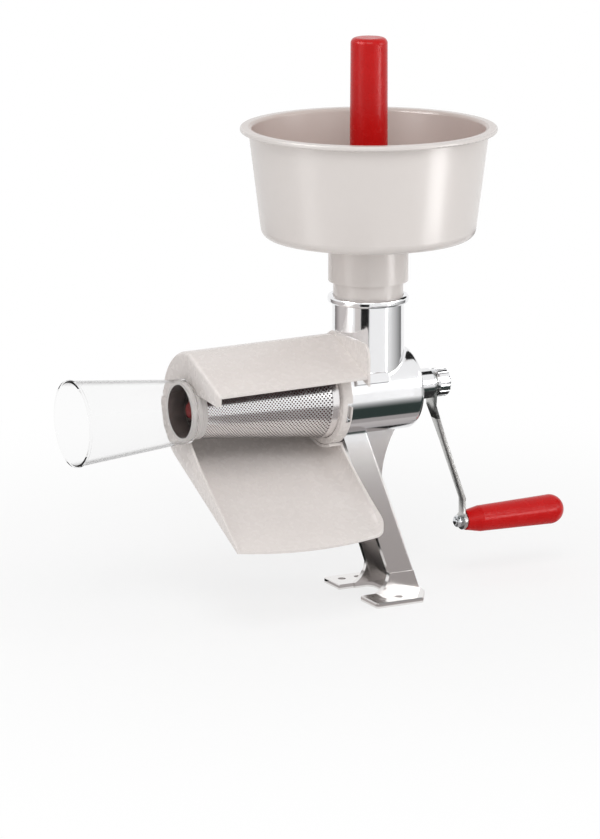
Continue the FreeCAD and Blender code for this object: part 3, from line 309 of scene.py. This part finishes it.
def paint_bore_shade(material, radius, colour):
    """Paints shade on a finish nearer to the screen's axis than a radius."""
    tree = material.node_tree
    offset = offset_from_axis(tree, (0, 0, AXIS_Z), (0, 1, 1))[1]
    distance = tree.nodes.new("ShaderNodeVectorMath")
    distance.operation = "LENGTH"
    amount = tree.nodes.new("ShaderNodeMapRange")
    amount.inputs["From Min"].default_value = radius + BORE_FADE
    amount.inputs["From Max"].default_value = radius
    tree.links.new(offset, distance.inputs[0])
    tree.links.new(distance.outputs["Value"], amount.inputs["Value"])
    mix_colour(material, amount.outputs["Result"], colour)


def paint_inside_shade(material, colour):
    """Paints shade on the faces of a round bowl that look towards its own upright axis."""
    tree = material.node_tree
    place, offset = offset_from_axis(tree, (THROAT_X, 0, 0), (1, 1, 0))
    outward = tree.nodes.new("ShaderNodeVectorMath")
    outward.operation = "DOT_PRODUCT"
    amount = tree.nodes.new("ShaderNodeMapRange")
    amount.inputs["From Min"].default_value = INSIDE_FADE
    amount.inputs["From Max"].default_value = -INSIDE_FADE
    tree.links.new(offset, outward.inputs[0])
    tree.links.new(place.outputs["Normal"], outward.inputs[1])
    tree.links.new(outward.outputs["Value"], amount.inputs["Value"])
    mix_colour(material, amount.outputs["Result"], colour)


NOSE_BORE_R = min(math.hypot(v.co.y, v.co.z - AXIS_Z) for v in nodes["screen_nose"].data.vertices)
duller_below(polished_metal, POLISHED_ABOVE, SATIN_BELOW, (0.90, 0.89, 0.885), 0.17)
# Painted shade: the funnel's wall is greyer where it is seen edge on.
paint_edge_shade(clear_plastic, (0.30, 0.28, 0.28), 0.60)
# Painted shade on the inside of the bowl.
paint_inside_shade(bowl_plastic, (0.79, 0.745, 0.72))
# Painted shade in the nose's bore.
paint_bore_shade(milky_plastic, NOSE_BORE_R + BORE_SKIN, (0.34, 0.30, 0.29))
print("nose bore radius:", round(NOSE_BORE_R / MM, 1), "mm")
print("polished above", round(POLISHED_ABOVE / MM), "mm, satin below", round(SATIN_BELOW / MM), "mm")

# %% [markdown]
# A solid keeps the exact surface directions of its CAD faces, which is what a mirror finish
# needs, so twelve pieces take their finish as they are, the casting, the hopper and the grip
# among them. Ten others have sharp edges in the solid, and a real edge is always broken a little.
# Each of those gets a copy whose points are merged, whose flat parts are joined into single
# faces, and whose edges get a fine bevel. The copy stands for the solid, rides on the same body
# and takes the same finish.

# %% Which finish each piece gets, and how far its edges are rounded, in millimetres
FINISH_OF = {
    "body_casting": (polished_metal, 0.0),
    "thumb_nut": (polished_metal, 0.0),
    "lock_studs": (bright_steel, 0.0),
    "drive_shaft": (bright_steel, 0.0),
    "hub_washer": (bright_steel, 0.1),
    "handle_pin": (bright_steel, 0.3),
    "handle_nut": (bright_steel, 0.2),
    "pin_washer": (bright_steel, 0.2),
    "crank_arm": (satin_steel, 0.4),
    "screen_rear_rim": (screen_steel, 0.2),
    "screen_nose": (milky_plastic, 0.0),
    "waste_funnel": (clear_plastic, 0.0),
    "locking_ring": (white_plastic, 0.4),
    "juice_chute": (white_plastic, 0.7),
    "splash_hood": (white_plastic, 0.7),
    "hopper_bowl": (bowl_plastic, 0.0),
    "auger_screw": (screw_red_in_shade, 0.4),
    "handle_grip": (red_plastic, 0.0),
    "pusher": (red_plastic, 0.0),
    "rear_bush": (bush_plastic, 0.0),
    "shaft_seal": (seal_rubber, 0.0),
    "screen_gasket": (seal_rubber, 0.0),
}
record = frame["record"]
body_of = {node: body for body, names in record["behaviour"]["bodies"].items() for node in names}
for name, (material, rounding) in FINISH_OF.items():
    if not rounding:
        nodes[name].data.materials.clear()
        nodes[name].data.materials.append(material)
print("pieces:", len(FINISH_OF), "and the perforated screen")

# %% A merged copy with broken edges for each piece that has a rounding
SMOOTH_ANGLE = math.radians(32)
EDGE_ANGLE = math.radians(38)
FLAT_ANGLE = math.radians(0.2)
SAME_POINT = 0.002 * MM


def softened(name, material, rounding):
    """A copy of a solid with merged points, one face per flat part and broken edges."""
    mesh = nodes[name].data.copy()
    piece = bpy.data.objects.new(name + "_finished", mesh)
    bpy.context.scene.collection.objects.link(piece)
    mesh.materials.clear()
    mesh.materials.append(material)
    only(piece)
    bpy.ops.object.mode_set(mode="EDIT")
    bpy.ops.mesh.select_all(action="SELECT")
    bpy.ops.mesh.customdata_custom_splitnormals_clear()
    bpy.ops.mesh.remove_doubles(threshold=SAME_POINT)
    bpy.ops.mesh.dissolve_limited(angle_limit=FLAT_ANGLE)
    bpy.ops.object.mode_set(mode="OBJECT")
    edge = piece.modifiers.new("broken_edge", "BEVEL")
    edge.width = rounding * MM
    edge.segments = 2
    edge.limit_method = "ANGLE"
    edge.angle_limit = EDGE_ANGLE
    edge.use_clamp_overlap = True
    bpy.ops.object.modifier_apply(modifier="broken_edge")
    bpy.ops.object.shade_smooth_by_angle(angle=SMOOTH_ANGLE)
    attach(piece, body_of[name])
    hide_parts(name)
    return piece


for name, (material, rounding) in FINISH_OF.items():
    if rounding:
        piece = softened(name, material, rounding)
        print(name, "faces:", len(nodes[name].data.polygons), "->", len(piece.data.polygons))

# %% [markdown]
# The screen is steel sheet punched with thousands of staggered holes and rolled into a taper.
# Cutting the holes one by one with a boolean would be slow, and an alpha pattern would have no
# thickness. Instead one small cell with a round hole is modelled at its real size, copied round
# the axis into a ring, and the ring is copied along the taper. Each copy is turned by half a cell
# and shrunk towards the cone's point, so the holes stay round and staggered all the way. Two
# lengths of screen are made, so that neither mesh grows too heavy.

# %% One cell of the perforated sheet
LARGE_X, LARGE_R = -53 * MM + THROAT_X, 35.4 * MM
SMALL_X, SMALL_R = -166 * MM + THROAT_X, 24.4 * MM
HOLES_ROUND = 58
HOLE_R = 0.84 * MM
ROW_STEP = 0.45
SHEET = 0.7 * MM
SEAM_GAP = 0.02 * MM
taper = (LARGE_R - SMALL_R) / (LARGE_X - SMALL_X)
apex_x = LARGE_X - LARGE_R / taper
cell_angle = 2 * math.pi / HOLES_ROUND
cell_width = LARGE_R * cell_angle
cell_length = ROW_STEP * cell_width
shrink = 1 - cell_length / (LARGE_X - apex_x)
rings = round(math.log(SMALL_R / LARGE_R) / math.log(shrink))
shrink = (SMALL_R / LARGE_R) ** (1 / rings)
print("holes:", HOLES_ROUND * rings)
print("cell:", round(cell_length / MM, 2), "x", round(cell_width / MM, 2), "mm")


def make_hole_cell():
    """A flat cell with an eight-sided hole, wrapped onto the cone at its large end."""
    clear_selection()
    bpy.ops.mesh.primitive_plane_add(size=1.0)
    cell = bpy.context.object
    bpy.ops.object.mode_set(mode="EDIT")
    bpy.ops.transform.resize(value=(cell_length, cell_width, 1))
    bpy.ops.mesh.subdivide(number_cuts=1)
    pick(cell, lambda v, c: c.length < HOLE_R / 2, "VERT")
    bpy.ops.mesh.bevel(affect="VERTICES", offset=HOLE_R, segments=2, profile=0.5)
    pick(cell, lambda f, c: c.length < HOLE_R * 0.95, "FACE")
    bpy.ops.mesh.delete(type="FACE")
    bpy.ops.object.mode_set(mode="OBJECT")
    near_x = apex_x + (LARGE_X - apex_x) * shrink
    for vertex in cell.data.vertices:
        if vertex.co.length < HOLE_R * 1.01:
            vertex.co = vertex.co.normalized() * HOLE_R
        t = vertex.co.x / cell_length + 0.5
        angle = vertex.co.y / cell_width * cell_angle
        x = near_x + t * (LARGE_X - near_x)
        radius = (x - apex_x) * taper
        vertex.co = (x, radius * math.sin(angle), radius * math.cos(angle))
    return cell


first_cell = make_hole_cell()
print("cell faces:", len(first_cell.data.polygons), "points:", len(first_cell.data.vertices))

# %% The cell is copied round and along the cone, then given its thickness


def turner(name, angle, scale=1.0):
    """An empty whose turn and shrink about the cone's point drive one array."""
    clear_selection()
    bpy.ops.object.empty_add(location=(apex_x * (1 - scale), 0, 0), rotation=(angle, 0, 0))
    empty = bpy.context.object
    empty.name = name
    empty.scale = (scale, scale, scale)
    bpy.context.view_layer.update()
    return empty


def repeat(obj, name, count, driver):
    """Copies an object again and again by one object's turn and shrink."""
    array = obj.modifiers.new(name, "ARRAY")
    array.count = count
    array.use_relative_offset = False
    array.use_object_offset = True
    array.offset_object = driver
    only(obj)
    bpy.ops.object.modifier_apply(modifier=name)


def screen_length(name, cell, first, count):
    """A length of screen, from one ring of holes to another."""
    scale = shrink ** first
    cell.scale = (scale, scale, scale)
    cell.location = (apex_x * (1 - scale), 0, 0)
    cell.rotation_euler = (first % 2 * cell_angle / 2, 0, 0)
    only(cell)
    bpy.ops.object.transform_apply(location=True, rotation=True, scale=True)
    round_driver = turner("round_driver", cell_angle)
    along_driver = turner("along_driver", cell_angle / 2, shrink)
    repeat(cell, "round", HOLES_ROUND, round_driver)
    repeat(cell, "along", count, along_driver)
    for helper in (round_driver, along_driver):
        bpy.data.objects.remove(helper)
    only(cell)
    bpy.ops.object.mode_set(mode="EDIT")
    bpy.ops.mesh.select_all(action="SELECT")
    bpy.ops.mesh.remove_doubles(threshold=SEAM_GAP)
    bpy.ops.mesh.normals_make_consistent(inside=False)
    bpy.ops.object.mode_set(mode="OBJECT")
    cell.location = (0, 0, AXIS_Z)
    wall = cell.modifiers.new("wall", "SOLIDIFY")
    wall.thickness = SHEET
    wall.offset = -1
    cell.data.materials.append(screen_steel)
    cell.data.materials.append(screen_hole_shade)
    # Painted shade: the inner face and the hole walls take the darker second slot.
    wall.material_offset = 1
    wall.material_offset_rim = 1
    bpy.ops.object.modifier_apply(modifier="wall")
    piece = done(cell, name)
    bpy.ops.object.shade_smooth_by_angle(angle=SMOOTH_ANGLE)
    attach(piece, "frame")
    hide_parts("screen_cone")


second_cell = first_cell.copy()
second_cell.data = first_cell.data.copy()
bpy.context.scene.collection.objects.link(second_cell)
half = rings // 2
screen_length("perforated_screen_wide", first_cell, 0, half)
screen_length("perforated_screen_narrow", second_cell, half, rings - half)

# %% [markdown]
# The table is a large pale disc. Camera, mirror and glass rays meet plain white on its far part,
# so the picture ends in white without more light on the object. Close to the machine a part of
# that white gives way to the lit surface, which keeps a soft shadow.

# %% Table
TABLE_R = 6.0
SHADOW_TO = 0.12
WHITE_FROM = 0.75
NEAR_WHITE = 0.70


def seen_rays(tree):
    """Gives 1 for camera, mirror and glass rays, and 0 for the rest."""
    rays = tree.nodes.new("ShaderNodeLightPath")
    seen = tree.nodes.new("ShaderNodeMath")
    seen.operation = "MAXIMUM"
    seen_too = tree.nodes.new("ShaderNodeMath")
    seen_too.operation = "MAXIMUM"
    tree.links.new(rays.outputs["Is Camera Ray"], seen.inputs[0])
    tree.links.new(rays.outputs["Is Glossy Ray"], seen.inputs[1])
    tree.links.new(seen.outputs[0], seen_too.inputs[0])
    tree.links.new(rays.outputs["Is Transmission Ray"], seen_too.inputs[1])
    return seen_too.outputs[0]


def make_table():
    clear_selection()
    bpy.ops.mesh.primitive_circle_add(vertices=96, radius=TABLE_R, fill_type="NGON", location=(0, 0, 0))
    table = bpy.context.object
    table.name = "table"
    material = bpy.data.materials.new("pale_table")
    material.use_nodes = True
    tree = material.node_tree
    link = tree.links.new
    shader = tree.nodes["Principled BSDF"]
    shader.inputs["Base Color"].default_value = (0.86, 0.86, 0.86, 1)
    shader.inputs["Roughness"].default_value = 0.9
    shader.inputs["Specular IOR Level"].default_value = 0.1
    place = tree.nodes.new("ShaderNodeTexCoord")
    distance = tree.nodes.new("ShaderNodeVectorMath")
    distance.operation = "LENGTH"
    far = tree.nodes.new("ShaderNodeMapRange")
    far.interpolation_type = "SMOOTHSTEP"
    far.inputs["From Min"].default_value = SHADOW_TO
    far.inputs["From Max"].default_value = WHITE_FROM
    far.inputs["To Min"].default_value = NEAR_WHITE
    amount = tree.nodes.new("ShaderNodeMath")
    amount.operation = "MULTIPLY"
    glow = tree.nodes.new("ShaderNodeEmission")
    glow.inputs["Color"].default_value = (1, 1, 1, 1)
    mix = tree.nodes.new("ShaderNodeMixShader")
    link(place.outputs["Object"], distance.inputs[0])
    link(distance.outputs["Value"], far.inputs["Value"])
    link(seen_rays(tree), amount.inputs[0])
    link(far.outputs["Result"], amount.inputs[1])
    link(amount.outputs[0], mix.inputs["Fac"])
    link(shader.outputs["BSDF"], mix.inputs[1])
    link(glow.outputs["Emission"], mix.inputs[2])
    link(mix.outputs["Shader"], tree.nodes["Material Output"].inputs["Surface"])
    table.data.materials.append(material)


make_table()
print("table radius:", TABLE_R, "m")

# %% [markdown]
# The foot is bolted down through four holes, and the table seen through them lies in the foot's
# shade, yet the table's glow would show it white. So four dark discs are painted shade there. Each
# lies just above the table, inside its hole in the foot, and is a little smaller than that hole.

# %% Painted shade in the foot's four bolt holes
BOLT_SPACING_X = 16 * MM
BOLT_SPACING_Y = 75 * MM
SHADE_DISC_R = 3.4 * MM
ABOVE_TABLE = 0.3 * MM
dark_hole = bpy.data.materials.new("bolt_hole_shade")
dark_hole.use_nodes = True
dark_shader = dark_hole.node_tree.nodes["Principled BSDF"]
dark_shader.inputs["Base Color"].default_value = (0.01, 0.01, 0.01, 1)
dark_shader.inputs["Roughness"].default_value = 0.9
for side_x in (-0.5, 0.5):
    for side_y in (-0.5, 0.5):
        clear_selection()
        place = (side_x * BOLT_SPACING_X, side_y * BOLT_SPACING_Y, ABOVE_TABLE)
        bpy.ops.mesh.primitive_circle_add(
            vertices=32, radius=SHADE_DISC_R, fill_type="NGON", location=place)
        hole = bpy.context.object
        hole.name = "bolt_hole_shade"
        hole.data.materials.append(dark_hole)
# Four discs of painted shade.
print("drilled holes: 4")

# %% [markdown]
# Polished metal shows only what stands around it. A product photographer sets dark, grey and
# bright cards round it to give it its bands, so the same is done here with cards that only mirror
# rays meet. Standing cards are placed by their bearing from the camera's side, left being
# negative. A face that looks down or up misses those, so flat cards lie just above the table,
# under the barrel, the boss and the hood, and over the shaft. One tilted card hangs high on the
# left, and an upright one high in front is there for the screen.

# %% Cards for the metal and the plastic to mirror
TURN = math.radians(-27.54)
UPRIGHT = math.radians(90)
TILT = math.radians(-35)
FLAT = (0, 0, 0)


def card(name, size, place, turn, shade, start=None, axis="X", fade=1.0):
    """A flat card that only mirror rays meet. It shines evenly in one shade, or fades into that
    shade from a starting one, along an axis and over a part of its length."""
    clear_selection()
    bpy.ops.mesh.primitive_plane_add(size=1.0, location=place, rotation=turn)
    piece = bpy.context.object
    piece.scale = (size[0], size[1], 1)
    piece.name = name
    material = bpy.data.materials.new(name)
    material.use_nodes = True
    tree = material.node_tree
    link = tree.links.new
    shader = tree.nodes["Principled BSDF"]
    shader.inputs["Base Color"].default_value = (0, 0, 0, 1)
    shader.inputs["Specular IOR Level"].default_value = 0.0
    shader.inputs["Emission Strength"].default_value = 1.0
    place_on_card = tree.nodes.new("ShaderNodeTexCoord")
    parts = tree.nodes.new("ShaderNodeSeparateXYZ")
    amount = tree.nodes.new("ShaderNodeMapRange")
    amount.inputs["From Min"].default_value = -0.5
    amount.inputs["From Max"].default_value = -0.5 + fade
    tint = tree.nodes.new("ShaderNodeMix")
    tint.data_type = "RGBA"
    tint.inputs["A"].default_value = (start or shade) + (1.0,)
    tint.inputs["B"].default_value = shade + (1.0,)
    link(place_on_card.outputs["Object"], parts.inputs["Vector"])
    link(parts.outputs[axis], amount.inputs["Value"])
    link(amount.outputs["Result"], tint.inputs["Factor"])
    link(tint.outputs["Result"], shader.inputs["Emission Color"])
    piece.data.materials.append(material)
    piece.visible_camera = False
    piece.visible_diffuse = False
    piece.visible_transmission = False
    piece.visible_shadow = False
    piece.visible_volume_scatter = False


def standing_card(name, bearing, distance, size, low, **look):
    """An upright card at a bearing in degrees and a distance in metres, with its lower edge at a
    height. Its size is its width and height."""
    angle = TURN + math.radians(bearing)
    place = (distance * math.sin(angle), -distance * math.cos(angle), low + size[1] / 2)
    card(name, size, place, (UPRIGHT, 0, angle), **look)


def grey(level):
    """An even grey, or a light brighter than white where the level is above 1."""
    return (level, level, level)


NEAR = 0.30
LOW = 0.08
HIGH = 0.17
BRIGHT_LOW = 0.05
BRIGHT_HIGH = 0.38
ON_TABLE = 0.0015
BLACK = grey(0.010)
WHITE = grey(0.96)
WARM = (0.60, 0.56, 0.55)
WARM_SHADE = (0.12, 0.11, 0.11)
PALE_WARM = (0.66, 0.62, 0.60)
TABLE_GREY = (0.40, 0.38, 0.38)
LEG_GREY = (0.37, 0.345, 0.34)
HOOD_SHADE = (0.05, 0.04, 0.04)
DARK_GREEN = (0.032, 0.045, 0.042)

# %% Standing cards
standing_card("black_card", -10.5, NEAR, (0.135, HIGH), LOW, shade=BLACK)
standing_card("front_warm_card", -33, NEAR, (0.09, HIGH), LOW, shade=PALE_WARM)
standing_card(
    "left_warm_card", -97, NEAR, (0.36, HIGH), LOW, shade=WARM, start=WARM_SHADE, fade=0.5)
standing_card("right_grey_card", 92, NEAR, (0.40, 0.12), 0.10, shade=grey(0.10), start=WHITE)
# The two bright cards glow brighter than white and light nothing: painted highlights seen only in
# mirrors.
standing_card("right_bright_card", 67, 0.55, (0.17, BRIGHT_HIGH), BRIGHT_LOW, shade=grey(8.0))
standing_card("left_bright_card", -60, 0.62, (0.19, BRIGHT_HIGH), BRIGHT_LOW, shade=grey(2.4))

# %% Flat cards, the tilted one and a high one for the screen
card(
    "barrel_card", (0.18, 0.110), (0.06, -0.095, 0.145), FLAT, DARK_GREEN,
    start=WHITE, axis="Y", fade=0.69)
card(
    "under_card", (0.34, 0.125), (0.06, -0.0175, ON_TABLE), FLAT, TABLE_GREY,
    start=WARM, axis="Y")
card("behind_card", (0.33, 0.145), (-0.045, 0.1175, ON_TABLE), FLAT, grey(0.015))
card("boss_card", (0.08, 0.08), (0.085, 0.005, 0.150), FLAT, grey(0.03))
card("leg_card", (0.62, 0.55), (0.22, -0.32, 0.002), FLAT, LEG_GREY)
# Painted shade: the over card is a dark sheet for the bowl's shaded underside, seen only in mirrors.
card("over_card", (0.11, 0.07), (0.10, 0.010, 0.300), FLAT, grey(0.02))
# Painted shade: a dark sheet for the hood's shaded underside, seen only in the screen's mirror.
card("under_hood_card", (0.125, 0.030), (-0.113, -0.048, 0.2035), FLAT, HOOD_SHADE)
# These two glow as well: painted highlights on the hood's edge and on the top of the screen.
card("hood_edge_card", (0.45, 0.60), (-0.72, 0.02, 0.90), (0, TILT, 0), grey(11.0))
card("screen_bright_card", (0.135, 0.46), (0.148, -0.50, 0.47), (UPRIGHT, 0, 0), grey(1.9))

# %% [markdown]
# The light is a bright, even studio: a big soft box high above the camera, a weaker one on the
# right, a small weak one on the left, and a white room for the rest. The room lights the machine
# at about two thirds of the strength that the camera, mirrors and glass see.

# %% Lamps and room


def soft_box(name, place, aim, size, power):
    """A rectangular lamp aimed at a point, in metres and watts."""
    clear_selection()
    bpy.ops.object.light_add(type="AREA", location=place)
    lamp = bpy.context.object
    lamp.name = name
    lamp.data.shape = "RECTANGLE"
    lamp.data.size = size[0]
    lamp.data.size_y = size[1]
    lamp.data.energy = power
    lamp.rotation_euler = (Vector(aim) - Vector(place)).to_track_quat("-Z", "Y").to_euler()
    lamp.visible_camera = False


soft_box("key_box", (-0.8, -1.6, 2.1), (0, 0, 0.25), (1.2, 1.2), 18)
soft_box("fill_box", (1.7, -1.2, 0.9), (0, 0, 0.25), (1.0, 1.0), 9)
soft_box("left_box", (-1.9, -0.5, 0.7), (-0.1, 0, 0.2), (0.8, 0.8), 4)
ROOM_LEVEL = 0.68
world = bpy.data.worlds.new("white_room")
bpy.context.scene.world = world
world.use_nodes = True
background = world.node_tree.nodes["Background"]
level = world.node_tree.nodes.new("ShaderNodeMapRange")
level.inputs["To Min"].default_value = ROOM_LEVEL
level.inputs["To Max"].default_value = 1.0
world.node_tree.links.new(seen_rays(world.node_tree), level.inputs["Value"])
world.node_tree.links.new(level.outputs["Result"], background.inputs["Strength"])
background.inputs["Color"].default_value = (1, 1, 1, 1)
print("lamps: 3")

# %% [markdown]
# The camera stands far away with a long lens, a little above the machine and to the left of its
# front. Its place was found from the ellipses of the rim, the ring and the foot.

# %% Camera
RISE = math.radians(13.11)
FOCAL_PX = 4163
FRAME_PX = 839
SENSOR_MM = 36
DISTANCE = 3603 * MM
SHIFT_RIGHT = -58.67 * MM
SHIFT_UP = -25.57 * MM

back = Vector((math.sin(TURN) * math.cos(RISE), -math.cos(TURN) * math.cos(RISE), math.sin(RISE)))
right = Vector((math.cos(TURN), math.sin(TURN), 0))
up = back.cross(right)
clear_selection()
bpy.ops.object.camera_add()
camera = bpy.context.object
camera.name = "photo_camera"
turned = Matrix((right, up, back)).transposed().to_4x4()
aim = Vector((THROAT_X, 0, AXIS_Z))
turned.translation = right * SHIFT_RIGHT + up * SHIFT_UP + back * DISTANCE + aim
camera.matrix_world = turned
camera.data.sensor_width = SENSOR_MM
camera.data.lens = SENSOR_MM * FOCAL_PX / FRAME_PX
camera.data.clip_end = 50
bpy.context.scene.camera = camera
bpy.context.scene.view_settings.view_transform = "Standard"
print("lens:", round(camera.data.lens, 1))
